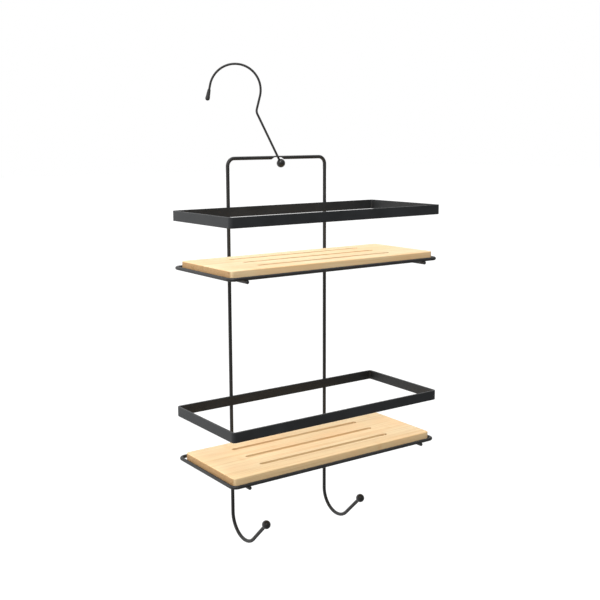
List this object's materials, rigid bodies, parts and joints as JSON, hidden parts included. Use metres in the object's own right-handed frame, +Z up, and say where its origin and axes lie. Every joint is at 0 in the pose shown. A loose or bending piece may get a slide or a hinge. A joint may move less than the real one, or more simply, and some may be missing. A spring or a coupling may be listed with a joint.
{
  "type": "shower caddy",
  "caption": "Hanging wire shower caddy with a swivel hook, two slatted wooden shelves inside rail rings, and two ball-ended accessory hooks below.",
  "frame": {"origin": "highest point inside the hanging hook's loop, where it bears on the rail that the caddy hangs from, with the hook leaning over at its rest stop", "axes": "+Z up; +Y to the wall behind, square to the plane of the two uprights; +X to the caddy's right seen from the front"},
  "size_m": [0.2622, 0.1563, 0.5103],
  "materials": {
    "coated_wire": "satin black powder coat over steel",
    "coated_strip": "satin black powder coat over steel",
    "coated_ball": "satin black powder coat over steel",
    "cap_plastic": "soft black plastic",
    "board_wood": "pale bamboo, thin satin varnish"
  },
  "bodies": {
    "frame": {"back_frame": "coated_wire", "left_hook_ball": "coated_ball", "right_hook_ball": "coated_ball", "upper_rail": "coated_strip", "upper_rim": "coated_wire", "upper_left_cross_wire": "coated_wire", "upper_right_cross_wire": "coated_wire", "lower_rail": "coated_strip", "lower_rim": "coated_wire", "lower_left_cross_wire": "coated_wire", "lower_right_cross_wire": "coated_wire"},
    "hook_pivot": {"hook_ball": "coated_ball"},
    "hook": {"hanging_hook": "coated_wire", "hook_tip_cap": "cap_plastic"},
    "upper_board": {"upper_board": "board_wood"},
    "lower_board": {"lower_board": "board_wood"}
  },
  "joints": [
    {"name": "hook_lean", "type": "hinge", "parent": "frame", "child": "hook_pivot", "pos_m": [0.03738, -0.02427, -0.09592], "axis": [0.5446, 0.8387, 0], "range_deg": [0, 50.8]},
    {"name": "hook_swivel", "type": "hinge", "parent": "hook_pivot", "child": "hook", "pos_m": [0.03738, -0.02427, -0.09592], "axis": [-0.3597, 0.2336, 0.9033], "continuous": true},
    {"name": "upper_board_lift", "type": "slide", "parent": "frame", "child": "upper_board", "axis": [0, 0, 1], "range_m": [0, 0.065]},
    {"name": "lower_board_lift", "type": "slide", "parent": "frame", "child": "lower_board", "axis": [0, 0, 1], "range_m": [0, 0.065]}
  ]
}
